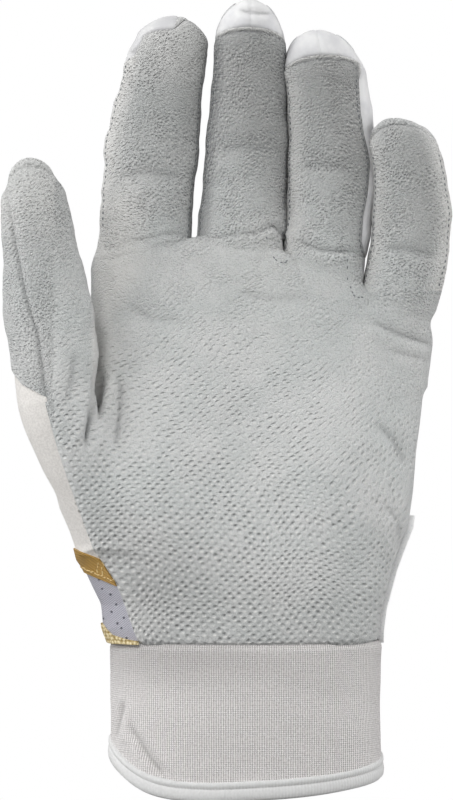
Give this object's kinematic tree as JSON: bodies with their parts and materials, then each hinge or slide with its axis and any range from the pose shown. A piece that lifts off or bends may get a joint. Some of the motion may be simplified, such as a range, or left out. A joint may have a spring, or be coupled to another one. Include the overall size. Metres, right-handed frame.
{
  "type": "batting glove",
  "caption": "Left-hand batting glove with leather finger sleeves on soft sidewalls, a stretch thumb gusset, gold side stripe, knit cuff with bound rim and a peel-open wrist closure.",
  "frame": {"origin": "middle of the hand opening, on the lower front rim of the cuff", "axes": "+Z along the fingers away from the cuff, palm towards -Y, little finger towards +X"},
  "size_m": [0.1362, 0.0553, 0.2393],
  "materials": {
    "leather": "matt, embossed",
    "sidewall": "smooth coated",
    "stretch_knit": "fine knit",
    "gold_trim": "satin",
    "vent_mesh": "perforated",
    "tan_tape": "woven",
    "cuff_knit": "fine rib knit",
    "binding": "smooth folded tape",
    "closure_pile": "looped pile",
    "closure_hooks": "fine hooks"
  },
  "bodies": {
    "hand": {"palm_leather": "leather", "back_of_hand": "leather", "web_index_middle": "sidewall", "web_middle_ring": "sidewall", "web_ring_pinky": "sidewall", "thumb_gusset": "stretch_knit", "gold_stripe": "gold_trim", "vent_panel": "vent_mesh", "edge_tape": "tan_tape", "cuff_front": "cuff_knit", "cuff_back": "cuff_knit", "cuff_binding": "binding", "strap_root": "sidewall", "loop_patch": "closure_pile"},
    "index_finger": {"index_front": "leather", "index_back": "leather", "index_left_sidewall": "sidewall", "index_right_sidewall": "sidewall"},
    "middle_finger": {"middle_front": "leather", "middle_back": "leather", "middle_left_sidewall": "sidewall", "middle_right_sidewall": "sidewall"},
    "ring_finger": {"ring_front": "leather", "ring_back": "leather", "ring_left_sidewall": "sidewall", "ring_right_sidewall": "sidewall"},
    "pinky_finger": {"pinky_front": "leather", "pinky_back": "leather", "pinky_left_sidewall": "sidewall", "pinky_right_sidewall": "sidewall"},
    "thumb": {"thumb_front": "leather", "thumb_back": "leather"},
    "closure": {"closure_tab": "sidewall", "hook_patch": "closure_hooks"}
  },
  "joints": [
    {"name": "index_bend", "type": "hinge", "parent": "hand", "child": "index_finger", "pos_m": [-0.03025, -0.009, 0.1685], "axis": [0.989, 0, -0.1478], "range_deg": [0, 70], "stiffness_Nm_per_rad": 0.03},
    {"name": "middle_bend", "type": "hinge", "parent": "hand", "child": "middle_finger", "pos_m": [-0.0018, -0.009, 0.167], "axis": [0.9993, 0, -0.0387], "range_deg": [0, 70], "stiffness_Nm_per_rad": 0.03},
    {"name": "ring_bend", "type": "hinge", "parent": "hand", "child": "ring_finger", "pos_m": [0.0238, -0.0085, 0.162], "axis": [0.9998, 0, 0.0176], "range_deg": [0, 70], "stiffness_Nm_per_rad": 0.03},
    {"name": "pinky_bend", "type": "hinge", "parent": "hand", "child": "pinky_finger", "pos_m": [0.0481, -0.008, 0.152], "axis": [0.9999, 0, 0.0115], "range_deg": [0, 70], "stiffness_Nm_per_rad": 0.03},
    {"name": "thumb_bend", "type": "hinge", "parent": "hand", "child": "thumb", "pos_m": [-0.057, -0.0265, 0.1194], "axis": [0.9909, 0, 0.1342], "range_deg": [0, 45], "stiffness_Nm_per_rad": 0.03},
    {"name": "closure_peel", "type": "hinge", "parent": "hand", "child": "closure", "pos_m": [-0.0061, 0.0265, 0.064], "axis": [0, 0, 1], "range_deg": [0, 110]}
  ]
}
